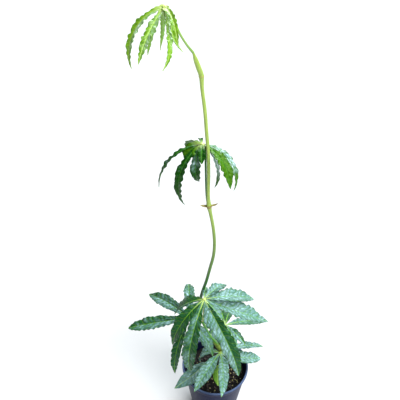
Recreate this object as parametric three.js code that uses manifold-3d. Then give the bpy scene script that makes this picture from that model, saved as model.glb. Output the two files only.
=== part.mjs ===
// A climbing aroid with finger-like compound leaves, growing in a round nursery pot.
// Lengths are in millimetres, +Z is up, and the origin is the middle of the pot's underside.
import * as THREE from 'three';
import { mergeVertices } from 'three/addons/utils/BufferGeometryUtils.js';
import Module from 'manifold-3d';

const wasm = await Module();
wasm.setup();

// Nursery pot
const POT_HEIGHT = 90;
const RIM_RADIUS = 50;
const RIM_INNER_RADIUS = 47.4;
const LIP_HEIGHT = 2.4;
const COLLAR_HEIGHT = 10;
const COLLAR_RADIUS = 48.6;
const NECK_RADIUS = 46.6;
const BASE_RADIUS = 35;
const POT_WALL = 1.4;
const POT_FLOOR = 2;
const INNER_NECK = POT_HEIGHT - COLLAR_HEIGHT - 1;
const POT_SIDES = 48;
const DRAIN_HOLES = 6;
const DRAIN_RADIUS = 3.5;
const DRAIN_CIRCLE = 24;
const DRAIN_SIDES = 12;
const EDGE_ROUND = 0.8;

// Potting mix
const MIX_LEVEL = 78;
const MIX_DOME = 2;
const MIX_RELIEF = 0.9;
const MIX_SIDES = 36;
const MIX_TOP_RINGS = 6;
const CRUMB_SPACING = 5;

// Clearance left where one piece passes or meets another
const GAP = 0.3;

// Leaf blades
const BLADE_THICKNESS = 0.8;
const STALK_HALF_WIDTH = 0.7;
const TIP_HALF_WIDTH = 0.5;
const SHORT_LEAFLET = 20;
const LONG_LEAFLET = 60;
const LONG_SEGMENTS = 16;
const MIDDLE_SEGMENTS = 10;
const SHORT_SEGMENTS = 5;
const WAVE_LENGTH = 21;
const MARGIN_SWING = 0.08;
const LEFT_WAVE_SHIFT = 0.4;
const NEXT_LEAFLET_PHASE = 2.1;
const FULL_RIPPLE_HALF_WIDTH = 4;
const ROUNDNESS = 0.85;

// Main stem: centre line points with the radius at each, from inside the mix to the newest sheath
const STEM = [
  [12, 15, 50, 2.2],
  [12, 15, 80, 2.6],
  [9.5, 12, 104, 3.1],
  [6, 10, 116, 2.4],
  [-1, 8, 132, 2.2],
  [-7, 7, 143, 2.1],
  [-18, 4, 174, 2.1],
  [-20, 3, 183, 2.9],
  [-22, 3, 194, 2.2],
  [-23.5, 4, 212, 2.1],
  [-20, 5, 234, 2.1],
  [-15, 6, 252, 2.1],
  [-10, 7, 275, 2.1],
  [-6, 8, 294, 2.1],
  [-5, 8, 314, 2.1],
  [-7, 8, 338, 2.1],
  [-11, 8, 361, 2.3],
  [-12.5, 8, 369, 3.1],
  [-13.3, 8, 380, 2.1],
  [-13.4, 8, 412, 2],
  [-14.4, 7, 441, 2],
  [-16.2, 6, 462, 2],
  [-18, 5, 484, 2],
  [-21, 4, 508, 2],
  [-21.8, 3, 520, 2.6],
  [-24.5, 1, 528, 2.6],
  [-27, -0.7, 535, 2.2],
  [-29, -2, 541, 1.2],
];
const STEM_SEGMENTS = 60;
const STEM_SIDES = 8;
const PETIOLE_SIDES = 6;
const PETIOLE_STEP_SEGMENTS = 3;
const HUB_SIDES = 8;
const HUB_RINGS = 6;
const HUB_FLATNESS = 0.75;

// Compound leaves. Each path runs from inside the stem to the hub, as x, y, z and radius.
// A leaflet is: turn from +X, rise at the hub, droop to the tip, length, width, sideways sweep
// and roll about its midrib, in degrees and millimetres. Peak moves the widest place to the tip,
// and a blunt leaflet also has a peak and a roundness of its own. Foot is the half width at the hub.
const COMPOUND_LEAVES = [
  {
    name: 'top_leaf',
    colour: 0x8cc63f,
    path: [
      [-29.2, -2.1, 541.5, 1.1],
      [-35, -5, 549, 0.8],
      [-41, -8, 559, 0.8],
      [-44, -9, 566, 0.8],
      [-48, -10, 575, 0.8],
      [-53, -10, 579, 1],
    ],
    hub: [-53, -10, 580],
    hubRadius: 2,
    foot: 1.9,
    peak: 1.1,
    fold: 22,
    ripple: 1,
    leaflets: [
      [194, -10, 93, 66, 7, -4, 43],
      [236, -32, 26, 57, 8, 4, 13],
      [137, -46, 25, 50, 6, 3, 0],
      [103, -27, 52, 52, 4, -4, -8],
      [284, -43, 0, 63, 4.5, -20, 30],
      [300, -66, -29, 42, 4.5, 0, 0],
      [298, -9, 62, 43, 5, -13, -25],
      [70, -45, 40, 32, 5, 0, 0],
    ],
  },
  {
    name: 'middle_leaf',
    colour: 0x2f6b2c,
    path: [
      [-12.5, 8, 366, 1.1],
      [-15.5, 12, 374, 0.9],
      [-18, 15, 420, 0.9],
      [-18, 17, 438, 0.9],
      [-20.5, 19, 441, 1.2],
    ],
    hub: [-20.5, 19, 442],
    hubRadius: 2.4,
    peak: 1.2,
    fold: 12,
    ripple: 1.2,
    leaflets: [
      [199, 4, 93, 77, 9, -9, -2],
      [144, 13, 63, 25, 13, 2, -18],
      [97, 13, 46, 28, 5, 0, 0],
      [203, 0, 75, 26, 12, 0, 30],
      [220, -14, 110, 85, 12, -7, 10],
      [247, -8, 130, 52, 12, 8, -10, 1.4, 0.6],
      [268, 4, 75, 27, 6.5, 0, 0],
      [340, 3, 113, 74, 9, 1, 10],
      [324, -1, 93, 66, 15, -6, -3],
      [346, -34, 80, 59, 9.5, -6, -12],
      [15, -11, 65, 56, 9, -3, 0],
    ],
  },
  {
    name: 'broad_leaf',
    colour: 0x3d7a4a,
    path: [
      [-20, 3, 182, 1.4],
      [-19.5, -4, 190, 1.2],
      [-18, -12, 214, 1.2],
      [-17.5, -15, 240, 1.5],
    ],
    hub: [-17.5, -15, 241],
    hubRadius: 3,
    peak: 1.15,
    fold: 12,
    ripple: 1.2,
    leaflets: [
      [165, -20, 50, 62, 14, -8, 0],
      [219, -11, 70, 77, 19, -11, 10],
      [250, -9, 104, 112, 19, -8, 3],
      [293, -2, 79, 110, 18.5, 28, -30, 1.3, 0.75],
      [315, -8, 25, 34, 13, 0, 0],
      [346, -15, 10, 90, 23, 15, 0],
      [13, 3, 42, 78, 23, 12, -5],
      [48, 13, 50, 51, 18, 8, 10],
      [86, 5, 36, 31, 7, -5, 5],
    ],
  },
  {
    name: 'left_leaf',
    colour: 0x3a7544,
    path: [
      [-20, 3, 182, 1.3],
      [-27, 1, 187, 1.1],
      [-37, -2, 191, 1.4],
    ],
    hub: [-37, -2, 192],
    hubRadius: 2.7,
    peak: 1.1,
    fold: 12,
    ripple: 1.2,
    leaflets: [
      [143, 14, 43, 88, 18, -9, 25],
      [185, -3, 26, 93, 18.5, -16, 20, 1.4, 0.65],
      [92, 23, 50, 72, 16, 2, -2, 1.3, 0.65],
      [240, -15, 85, 88, 13, 5, 0],
      [228, -20, 90, 52, 11, 5, 0],
      [318, -20, 60, 66, 15, 10, 0],
    ],
  },
  {
    name: 'right_leaf',
    colour: 0x34703c,
    path: [
      [9, 11.5, 106, 1.3],
      [14, 15, 114, 1.1],
      [15, 17, 135, 1.1],
      [14, 17, 155, 1.4],
    ],
    hub: [14, 17, 156],
    hubRadius: 2.5,
    peak: 1.15,
    fold: 12,
    ripple: 1.1,
    leaflets: [
      [18, 3, 38, 70, 13.5, 3, -15],
      [75, 8, 55, 40, 12, 0, 0],
      [98, 12, 50, 40, 10, 0, 0],
      [318, 0, 55, 41, 11, 15, -8],
      [292, 22, 40, 40, 10, 0, 0],
      [150, -5, 60, 44, 11, 0, 0],
    ],
  },
  {
    name: 'low_leaf',
    colour: 0x47835a,
    path: [
      [10.5, 13, 95, 1.3],
      [8, 6, 103, 1.1],
      [7, 2, 112, 1.4],
    ],
    hub: [7, 2, 113],
    hubRadius: 2.7,
    peak: 1.2,
    fold: 12,
    ripple: 1,
    leaflets: [
      [165, 10, 110, 50, 17, 0, 0],
      [239, 12, 25, 73, 19.5, -1, 2],
      [278, 15, 10, 80, 15.5, -19, 19],
      [290, 8, 30, 50, 12, 0, 0],
      [351, -15, 0, 65, 19.5, 24, -7, 1.4, 0.6],
      [18, 13, 52, 78, 11, 3, -8],
    ],
  },
];

// Simple leaves that rise straight from the mix, each with a single blade
const SIMPLE_LEAVES = [
  {
    name: 'old_leaf',
    colour: 0x4d7c68,
    path: [
      [-2, 6, 55, 1.2],
      [-4, 4, 85, 1.2],
      [-12, -5, 101, 1.4],
    ],
    hub: [-12, -5, 101],
    peak: 0.95,
    fold: 8,
    ripple: 0.5,
    blade: [229, 3, 16, 62, 21, -19, 17],
  },
  {
    name: 'young_leaf',
    colour: 0x9ab33a,
    path: [
      [8, -4, 60, 1],
      [7, -4, 88, 1],
      [6, -5, 95, 1.2],
    ],
    hub: [6, -5, 95],
    peak: 0.95,
    fold: 10,
    ripple: 0,
    blade: [258, 16, 42, 34, 15.5, 14, -9],
  },
];

// Old sheath round the foot of the stem: a sleeve cut aslant, so that it ends in a point
const SHEATH = [
  [8.8, 11.6, 108, 3.8],
  [6, 10, 116, 4.2],
  [-1, 8, 132, 3.9],
  [-6.6, 7.1, 142, 3.2],
];
const SHEATH_CUT_POINT = [-1, 8, 132];
const SHEATH_CUT_NORMAL = [0.72, 0.1, 0.68];
const SHEATH_SEGMENTS = 6;
const TRIM_SIZE = 40;

// Dry bract at the node under the middle leaf: a papery collar with two curled scales
const BRACT_COLLAR = [
  [-12, 8, 366, 3.2],
  [-12.3, 8, 368, 3.7],
  [-12.6, 8, 370, 3.7],
];
const BRACT_SCALES = [
  [190, -15, -55, 11, 5, 0, 0],
  [352, 0, -45, 11.5, 4.5, 0, 0],
];
const BRACT_FOOT = [-12.4, 8, 369];
const BRACT_STYLE = { peak: 0.9, fold: 15, ripple: 0.4 };
const BRACT_SEGMENTS = 4;

const radians = THREE.MathUtils.degToRad;

// Build a closed solid from rings of points that all have the same count
function ringSolid(rings, diagonals) {
  const positions = rings.flat().flatMap((p) => [p.x, p.y, p.z]);
  const count = rings[0].length;
  const indices = [];
  for (let i = 0; i < rings.length - 1; i += 1) {
    for (let j = 0; j < count; j += 1) {
      const a = i * count + j;
      const b = i * count + ((j + 1) % count);
      const c = a + count;
      const d = b + count;
      if (diagonals[j]) {
        indices.push(a, b, d, a, d, c);
      } else {
        indices.push(a, b, c, b, d, c);
      }
    }
  }
  const last = (rings.length - 1) * count;
  for (let j = 2; j < count; j += 1) {
    const next = (j + 1) % count;
    indices.push(1, next, j);
    indices.push(last + 1, last + j, last + next);
  }
  const geometry = new THREE.BufferGeometry();
  geometry.setAttribute('position', new THREE.Float32BufferAttribute(positions, 3));
  geometry.setIndex(indices);
  return toManifold(geometry);
}

function toManifold(geometry) {
  geometry.deleteAttribute('normal');
  geometry.deleteAttribute('uv');
  const merged = mergeVertices(geometry, 1e-4);
  const mesh = new wasm.Mesh({
    numProp: 3,
    vertProperties: new Float32Array(merged.attributes.position.array),
    triVerts: new Uint32Array(merged.index.array),
  });
  return new wasm.Manifold(mesh);
}

function fromManifold(solid) {
  const mesh = solid.getMesh();
  const geometry = new THREE.BufferGeometry();
  geometry.setAttribute('position', new THREE.BufferAttribute(mesh.vertProperties, 3));
  geometry.setIndex(new THREE.BufferAttribute(mesh.triVerts, 1));
  return geometry;
}

// A tube through points with a radius at each, widened all round by extra
function taperedTube(points, segments, sides, extra = 0) {
  const curve = new THREE.CatmullRomCurve3(points.map(([x, y, z]) => new THREE.Vector3(x, y, z)));
  const frames = curve.computeFrenetFrames(segments, false);
  const rings = [];
  for (let i = 0; i <= segments; i += 1) {
    const u = i / segments;
    const centre = curve.getPointAt(u);
    const along = curve.getUtoTmapping(u) * (points.length - 1);
    const k = Math.min(Math.floor(along), points.length - 2);
    const radius = THREE.MathUtils.lerp(points[k][3], points[k + 1][3], along - k) + extra;
    const ring = [];
    for (let j = 0; j < sides; j += 1) {
      const angle = (2 * Math.PI * j) / sides;
      const point = centre.clone();
      point.addScaledVector(frames.normals[i], radius * Math.cos(angle));
      point.addScaledVector(frames.binormals[i], radius * Math.sin(angle));
      ring.push(point);
    }
    rings.push(ring);
  }
  return ringSolid(rings, new Array(sides).fill(true));
}

// Half width of a blade at a share t of its length
function halfWidth(t, width, peak, roundness, foot) {
  const shape = Math.max(0, Math.sin(Math.PI * t ** peak)) ** roundness;
  const least = t < 0.5 ? foot : TIP_HALF_WIDTH;
  return Math.max(least, (width / 2) * shape);
}

function bladeSegments(length) {
  if (length < SHORT_LEAFLET) {
    return SHORT_SEGMENTS;
  }
  return length < LONG_LEAFLET ? MIDDLE_SEGMENTS : LONG_SEGMENTS;
}

// One arched blade, folded along its midrib, with its two edges waved
function blade(hub, leaflet, leaf, phase) {
  const [turn, rise, droop, length, width, sweep, roll, ownPeak, ownRoundness] = leaflet;
  const peak = ownPeak ?? leaf.peak;
  const roundness = ownRoundness ?? ROUNDNESS;
  const foot = leaf.foot ?? STALK_HALF_WIDTH;
  const segments = bladeSegments(length);
  const waves = length / WAVE_LENGTH;
  const step = length / segments;
  const half = BLADE_THICKNESS / 2;
  const centre = new THREE.Vector3(...hub);
  const rings = [];
  for (let i = 0; i <= segments; i += 1) {
    const t = i / segments;
    const slope = radians(rise - droop * t);
    const heading = radians(turn + sweep * t);
    const along = new THREE.Vector3(
      Math.cos(slope) * Math.cos(heading),
      Math.cos(slope) * Math.sin(heading),
      Math.sin(slope),
    );
    const level = new THREE.Vector3(Math.sin(heading), -Math.cos(heading), 0);
    const side = level.clone().applyAxisAngle(along, radians(-roll));
    const up = side.clone().cross(along).normalize();
    const w = halfWidth(t, width, peak, roundness, foot);
    const sway = Math.sin(Math.PI * t) * leaf.ripple * Math.min(1, w / FULL_RIPPLE_HALF_WIDTH);
    const lift = w * Math.tan(radians(leaf.fold));
    const edge = (sign, shift) => {
      const wave = Math.sin(2 * Math.PI * (waves * t + shift) + phase);
      const reach = w * (1 + MARGIN_SWING * wave);
      const point = centre.clone().addScaledVector(side, sign * reach);
      return point.addScaledVector(up, lift + sway * wave);
    };
    const right = edge(1, 0);
    const left = edge(-1, LEFT_WAVE_SHIFT);
    rings.push([
      left.clone().addScaledVector(up, half),
      centre.clone().addScaledVector(up, half),
      right.clone().addScaledVector(up, half),
      right.clone().addScaledVector(up, -half),
      centre.clone().addScaledVector(up, -half),
      left.clone().addScaledVector(up, -half),
    ]);
    const ahead = radians(rise - droop * (t + 0.5 / segments));
    const facing = radians(turn + sweep * (t + 0.5 / segments));
    centre.x += step * Math.cos(ahead) * Math.cos(facing);
    centre.y += step * Math.cos(ahead) * Math.sin(facing);
    centre.z += step * Math.sin(ahead);
  }
  return ringSolid(rings, [true, true, true, false, false, false]);
}

// Turn a lathe round its own axis into one round +Z
function lathe(profile, sides) {
  const points = profile.map(([radius, height]) => new THREE.Vector2(radius, height));
  return new THREE.LatheGeometry(points, sides).rotateX(Math.PI / 2);
}

function makePot() {
  const collarFoot = POT_HEIGHT - COLLAR_HEIGHT;
  const lipFoot = POT_HEIGHT - LIP_HEIGHT;
  const profile = [
    [0, 0],
    [BASE_RADIUS - EDGE_ROUND, 0],
    [BASE_RADIUS, EDGE_ROUND],
    [NECK_RADIUS, collarFoot],
    [COLLAR_RADIUS - EDGE_ROUND, collarFoot],
    [COLLAR_RADIUS, lipFoot],
    [RIM_RADIUS, lipFoot],
    [RIM_RADIUS, POT_HEIGHT - EDGE_ROUND],
    [RIM_RADIUS - EDGE_ROUND, POT_HEIGHT],
    [RIM_INNER_RADIUS + EDGE_ROUND, POT_HEIGHT],
    [RIM_INNER_RADIUS, POT_HEIGHT - EDGE_ROUND],
    [COLLAR_RADIUS - EDGE_ROUND - POT_WALL, collarFoot + POT_WALL],
    [NECK_RADIUS - POT_WALL, INNER_NECK],
    [BASE_RADIUS - POT_WALL, POT_FLOOR],
    [0, POT_FLOOR],
  ];
  let pot = toManifold(lathe(profile, POT_SIDES));
  for (let i = 0; i < DRAIN_HOLES; i += 1) {
    const angle = (2 * Math.PI * i) / DRAIN_HOLES;
    const depth = 4 * POT_FLOOR;
    const drill = new THREE.CylinderGeometry(DRAIN_RADIUS, DRAIN_RADIUS, depth, DRAIN_SIDES);
    drill.rotateX(Math.PI / 2);
    drill.translate(DRAIN_CIRCLE * Math.cos(angle), DRAIN_CIRCLE * Math.sin(angle), 0);
    pot = pot.subtract(toManifold(drill));
  }
  return pot;
}

// Radius of the pot's inside at a height below its collar
function innerRadius(height) {
  const share = (height - POT_FLOOR) / (INNER_NECK - POT_FLOOR);
  return THREE.MathUtils.lerp(BASE_RADIUS, NECK_RADIUS, share) - POT_WALL;
}

// The mix is filled to just below the collar, slightly domed, with crumbs that show as relief
function makeMix(stems) {
  const foot = POT_FLOOR + GAP;
  const shoulder = MIX_LEVEL - MIX_DOME;
  const edge = innerRadius(shoulder) - 2 * GAP;
  const profile = [[0, foot], [innerRadius(foot) - 2 * GAP, foot]];
  for (let i = 0; i <= MIX_TOP_RINGS; i += 1) {
    const radius = edge * (1 - i / MIX_TOP_RINGS);
    profile.push([radius, shoulder + MIX_DOME * (1 - (radius / edge) ** 2)]);
  }
  const geometry = lathe(profile, MIX_SIDES);
  const position = geometry.attributes.position;
  const pitch = (2 * Math.PI) / CRUMB_SPACING;
  for (let i = 0; i < position.count; i += 1) {
    const x = position.getX(i);
    const y = position.getY(i);
    const z = position.getZ(i);
    if (z > shoulder - GAP && Math.hypot(x, y) < edge - GAP) {
      const crumb = Math.sin(pitch * (x + 0.5 * y)) * Math.cos(pitch * (0.8 * y - 0.6 * x));
      position.setZ(i, z + MIX_RELIEF * crumb);
    }
  }
  let mix = toManifold(geometry);
  for (const stem of stems) {
    mix = mix.subtract(stem);
  }
  return mix;
}

function makeStem(extra = 0) {
  return taperedTube(STEM, STEM_SEGMENTS, STEM_SIDES, extra);
}

function makeHub(place, radius) {
  const ball = new THREE.SphereGeometry(radius, HUB_SIDES, HUB_RINGS);
  ball.scale(1, 1, HUB_FLATNESS);
  ball.translate(...place);
  return toManifold(ball);
}

function makePetiole(path, extra = 0) {
  return taperedTube(path, PETIOLE_STEP_SEGMENTS * (path.length - 1), PETIOLE_SIDES, extra);
}

function makeCompoundLeaf(leaf, stemHole) {
  let solid = makePetiole(leaf.path).add(makeHub(leaf.hub, leaf.hubRadius));
  leaf.leaflets.forEach((leaflet, i) => {
    solid = solid.add(blade(leaf.hub, leaflet, leaf, NEXT_LEAFLET_PHASE * i));
  });
  return solid.subtract(stemHole);
}

function makeSimpleLeaf(leaf) {
  return makePetiole(leaf.path).add(blade(leaf.hub, leaf.blade, leaf, 0));
}

// A sleeve that hugs the stem, trimmed by a half space past its slanting cut
function makeSheath(stemHole, petioleHole) {
  const sleeve = taperedTube(SHEATH, SHEATH_SEGMENTS, STEM_SIDES).subtract(stemHole).subtract(petioleHole);
  const trim = new THREE.BoxGeometry(TRIM_SIZE, TRIM_SIZE, TRIM_SIZE);
  trim.translate(0, 0, TRIM_SIZE / 2);
  const normal = new THREE.Vector3(...SHEATH_CUT_NORMAL).normalize();
  const turn = new THREE.Quaternion().setFromUnitVectors(new THREE.Vector3(0, 0, 1), normal);
  trim.applyQuaternion(turn);
  trim.translate(...SHEATH_CUT_POINT);
  return sleeve.subtract(toManifold(trim));
}

function makeBract(stemHole, petioleHole) {
  let bract = taperedTube(BRACT_COLLAR, BRACT_SEGMENTS, STEM_SIDES);
  BRACT_SCALES.forEach((scale, i) => {
    bract = bract.add(blade(BRACT_FOOT, scale, BRACT_STYLE, i));
  });
  return bract.subtract(stemHole).subtract(petioleHole);
}

const stemHole = makeStem(GAP);
const part = new THREE.Group();

function addNode(name, solid, colour, roughness) {
  const material = new THREE.MeshStandardMaterial({ color: colour, roughness, metalness: 0 });
  const mesh = new THREE.Mesh(fromManifold(solid), material);
  mesh.name = name;
  part.add(mesh);
}

const simpleHoles = SIMPLE_LEAVES.map((leaf) => makePetiole(leaf.path, GAP));
addNode('pot', makePot(), 0x54586c, 0.5);
addNode('potting_mix', makeMix([stemHole, ...simpleHoles]), 0x2a211c, 0.95);
addNode('main_stem', makeStem(), 0x7fae45, 0.45);
const petioleHole = {};
for (const leaf of COMPOUND_LEAVES) {
  petioleHole[leaf.name] = makePetiole(leaf.path, GAP);
}
addNode('foot_sheath', makeSheath(stemHole, petioleHole.right_leaf), 0x8a7d3a, 0.6);
addNode('dry_bract', makeBract(stemHole, petioleHole.middle_leaf), 0xb08a4a, 0.7);
for (const leaf of COMPOUND_LEAVES) {
  addNode(leaf.name, makeCompoundLeaf(leaf, stemHole), leaf.colour, 0.4);
}
for (const leaf of SIMPLE_LEAVES) {
  addNode(leaf.name, makeSimpleLeaf(leaf), leaf.colour, 0.45);
}

export default part;
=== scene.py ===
# %% [markdown]
# # A potted climbing aroid
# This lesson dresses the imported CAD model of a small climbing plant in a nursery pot.
# The CAD gives every size and place. Here each leaf, the stem, the pot and the potting mix
# get the finer shape and the finish that the real plant has.
# Lengths are written in millimetres and turned to metres once, when a mesh is placed.

# %% Load the frame
import math
import random

import bpy
import numpy as np
from mathutils import Matrix, Vector


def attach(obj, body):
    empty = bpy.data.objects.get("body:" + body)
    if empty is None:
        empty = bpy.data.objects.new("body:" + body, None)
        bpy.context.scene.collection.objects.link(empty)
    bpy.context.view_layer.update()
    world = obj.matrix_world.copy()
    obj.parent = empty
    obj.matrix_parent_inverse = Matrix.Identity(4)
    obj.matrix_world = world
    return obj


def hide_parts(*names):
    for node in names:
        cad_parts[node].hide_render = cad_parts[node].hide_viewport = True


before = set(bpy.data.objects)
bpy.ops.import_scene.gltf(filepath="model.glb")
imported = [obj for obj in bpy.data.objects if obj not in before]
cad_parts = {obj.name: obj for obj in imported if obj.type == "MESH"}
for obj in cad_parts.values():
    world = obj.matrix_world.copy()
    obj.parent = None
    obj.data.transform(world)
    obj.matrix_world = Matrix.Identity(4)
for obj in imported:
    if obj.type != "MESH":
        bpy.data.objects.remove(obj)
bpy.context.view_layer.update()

MM = 0.001
scene = bpy.context.scene
print("nodes:", sorted(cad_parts))

# %% [markdown]
# ## Camera
# The plant was seen from the front, a little above the newest leaf and looking down.
# A 35 mm lens on a 36 mm sensor gives the strong perspective that makes the pot look small.

# %% Place the camera
CAMERA_PLACE = (-23, -378, 611)
CAMERA_PITCH = 31.2
LENS, SENSOR = 35, 36
camera = bpy.data.objects.new("camera", bpy.data.cameras.new("camera"))
camera.data.lens = LENS
camera.data.sensor_width = SENSOR
camera.location = Vector(CAMERA_PLACE) * MM
camera.rotation_euler = (math.radians(90 - CAMERA_PITCH), 0, 0)
scene.collection.objects.link(camera)
scene.camera = camera
print("camera at", tuple(round(c, 3) for c in camera.location))

# %% [markdown]
# ## Light
# Leaves look wet and quilted only when something bright stands where their gloss mirrors it.
# Two wide sky panels do that: one high behind the plant, for the leaves that lie flat, and one
# in front on the right, for the leaves that hang. Nothing bright stands on the left, so every
# half blade that faces left stays deep green. Wide suns act as such panels and light the
# whole floor evenly. The view transform is the plain one, which keeps the greens strong.

# %% Light the plant
SKY_PANELS = {  # direction, width in degrees, strength and colour
    "high_back_panel": ((0.3, 0.5, 0.81), 50, 5.5, "#f4fbff"),
    "front_right_panel": ((0.55, -0.52, 0.65), 36, 3.9, "#ffffff"),
}
ROOM_COLOUR, ROOM_STRENGTH = "#ffffff", 0.28


def paint(code):
    """Turn an sRGB colour such as #2f6b2c into the linear RGBA that shaders take."""
    channels = [int(code[i:i + 2], 16) / 255 for i in (1, 3, 5)]
    linear = [c / 12.92 if c <= 0.04045 else ((c + 0.055) / 1.055) ** 2.4 for c in channels]
    return (*linear, 1)


def add_sky_panel(name, towards, width, strength, colour):
    """Add a far soft light that stands in a direction and is width degrees across."""
    light = bpy.data.lights.new(name, "SUN")
    light.angle = math.radians(width)
    light.energy = strength
    light.color = paint(colour)[:3]
    panel = bpy.data.objects.new(name, light)
    panel.location = Vector(towards) * 2
    panel.rotation_euler = Vector(towards).to_track_quat("Z", "Y").to_euler()
    scene.collection.objects.link(panel)


for name, values in SKY_PANELS.items():
    add_sky_panel(name, *values)
world = bpy.data.worlds.new("pale_room")
world.use_nodes = True
world.node_tree.nodes["Background"].inputs["Color"].default_value = paint(ROOM_COLOUR)
world.node_tree.nodes["Background"].inputs["Strength"].default_value = ROOM_STRENGTH
scene.world = world
scene.view_settings.view_transform = "Standard"

# %% [markdown]
# ## Nodes
# A material is a small graph. One helper adds a node, sets its properties and fills its inputs,
# where an input is either a plain value or the output of another node. It returns the output
# that the next node needs.
# The Mix node repeats its socket names for each type of data, so its colour sockets are reached
# by number. A Map Range node turns a range of values into a share that falls from 1 to 0.
# The scale of a noise is one over the size of its grain, so each size is named in millimetres.

# %% One helper for every node
SHARE, UNDER, OVER = 0, 6, 7
IN_COLOUR = {"output": 2, "data_type": "RGBA"}
FALLING = {"To Min": 1.0, "To Max": 0.0}


def fill(node, inputs):
    """Fill inputs of a node by name or number, each with a value or with a link."""
    for key, value in inputs.items():
        if isinstance(value, bpy.types.NodeSocket):
            node.id_data.links.new(value, node.inputs[key])
        else:
            node.inputs[key].default_value = value


def add_node(tree, kind, inputs, output=0, **settings):
    """Add a node, set its properties, fill its inputs, and return one of its outputs."""
    node = tree.nodes.new("ShaderNode" + kind)
    for name, value in settings.items():
        setattr(node, name, value)
    fill(node, inputs)
    return node.outputs[output]


def new_material(name):
    """Return a material with its node tree, its shader and the place on the piece, in metres."""
    material = bpy.data.materials.new(name)
    material.use_nodes = True
    tree = material.node_tree
    place = add_node(tree, "TexCoord", {}, "Object")
    return material, tree, tree.nodes["Principled BSDF"], place


print("helpers ready")

# %% [markdown]
# ### Floor
# A plain matt painted board, far larger than the view, with a faint slow change of tone,
# whose pattern is counted from a corner of the board.

# %% Floor
FLOOR_WIDTH = 60
TONE_CHANGE = 1500
bpy.ops.object.select_all(action="DESELECT")
bpy.ops.mesh.primitive_plane_add(size=FLOOR_WIDTH)
floor = bpy.context.object
floor.name = "floor"
board, tree, shader, place = new_material("matt_painted_board")
corner = add_node(tree, "VectorMath", {0: place, 1: (FLOOR_WIDTH / 2,) * 3}, operation="ADD")
tone = add_node(tree, "TexNoise", {"Vector": corner, "Scale": 1 / (TONE_CHANGE * MM)})
colour = add_node(tree, "Mix", {SHARE: tone, UNDER: paint("#b4b4b4"), OVER: paint("#bababa")},
                  **IN_COLOUR)
fill(shader, {"Base Color": colour, "Roughness": 0.9})
floor.data.materials.append(board)
print("floor", floor.dimensions.x, "m wide")

# %% [markdown]
# ## Nursery pot
# The real pot is injection-moulded polypropylene, tapered so that pots stack, with a collar
# and a rolled lip. A turned shape starts as a disc that is extruded and scaled one ring
# at a time: up the outside, over the lip and down the inside. A lathe or Spin would do too,
# but extruding keeps the floor and the wall one closed skin.

# %% Build the pot
POT_RINGS = [
    (34.2, 0), (34.8, 0.25), (35, 0.8), (46.6, 80), (47.6, 80), (47.8, 80.3), (48.6, 87.6),
    (49.7, 87.6), (50, 87.9), (50, 89.2), (49.8, 89.75), (49.2, 90), (48.2, 90), (47.6, 89.75),
    (47.4, 89.2), (46.4, 81.4), (45.2, 79), (33.6, 2.6), (33, 2),
]
POT_SIDES = 128


def turn_up(name, rings, sides):
    """Raise a closed turned shape ring by ring from a disc on the floor."""
    bpy.ops.object.select_all(action="DESELECT")
    radius, height = rings[0]
    bpy.ops.mesh.primitive_circle_add(
        vertices=sides, radius=radius * MM, fill_type="NGON", location=(0, 0, height * MM))
    piece = bpy.context.object
    piece.name = name
    bpy.ops.object.mode_set(mode="EDIT")
    for next_radius, next_height in rings[1:]:
        move = {"value": (0, 0, (next_height - height) * MM)}
        bpy.ops.mesh.extrude_region_move(TRANSFORM_OT_translate=move)
        scale = next_radius / radius
        bpy.ops.transform.resize(value=(scale, scale, 1), center_override=(0, 0, 0))
        radius, height = next_radius, next_height
    bpy.ops.mesh.select_all(action="SELECT")
    bpy.ops.mesh.normals_make_consistent(inside=False)
    bpy.ops.object.mode_set(mode="OBJECT")
    bpy.ops.object.transform_apply(location=True, rotation=True, scale=True)
    return piece


pot = turn_up("nursery_pot", POT_RINGS, POT_SIDES)
print("pot", [round(d / MM) for d in pot.dimensions], "mm")

# %% [markdown]
# Six drain holes go through the floor of the pot, cut by a Boolean with short cylinders.

# %% Drain holes
DRAIN_CIRCLE, DRAIN_RADIUS, DRAIN_HOLES = 24, 3.5, 6
DRILL_SIDES, DRILL_DEPTH = 24, 16
POT_SHARP = 35
for i in range(DRAIN_HOLES):
    angle = 2 * math.pi * i / DRAIN_HOLES
    place = Vector((math.cos(angle), math.sin(angle), 0)) * DRAIN_CIRCLE * MM
    bpy.ops.object.select_all(action="DESELECT")
    bpy.ops.mesh.primitive_cylinder_add(
        vertices=DRILL_SIDES, radius=DRAIN_RADIUS * MM, depth=DRILL_DEPTH * MM,
        location=place)
    drill = bpy.context.object
    bpy.context.view_layer.objects.active = pot
    cut = pot.modifiers.new("drain", "BOOLEAN")
    cut.object = drill
    bpy.ops.object.modifier_apply(modifier=cut.name)
    bpy.data.objects.remove(drill)
pot.select_set(True)
bpy.ops.object.shade_smooth_by_angle(angle=math.radians(POT_SHARP))
print("pot faces after the holes:", len(pot.data.polygons))
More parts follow.
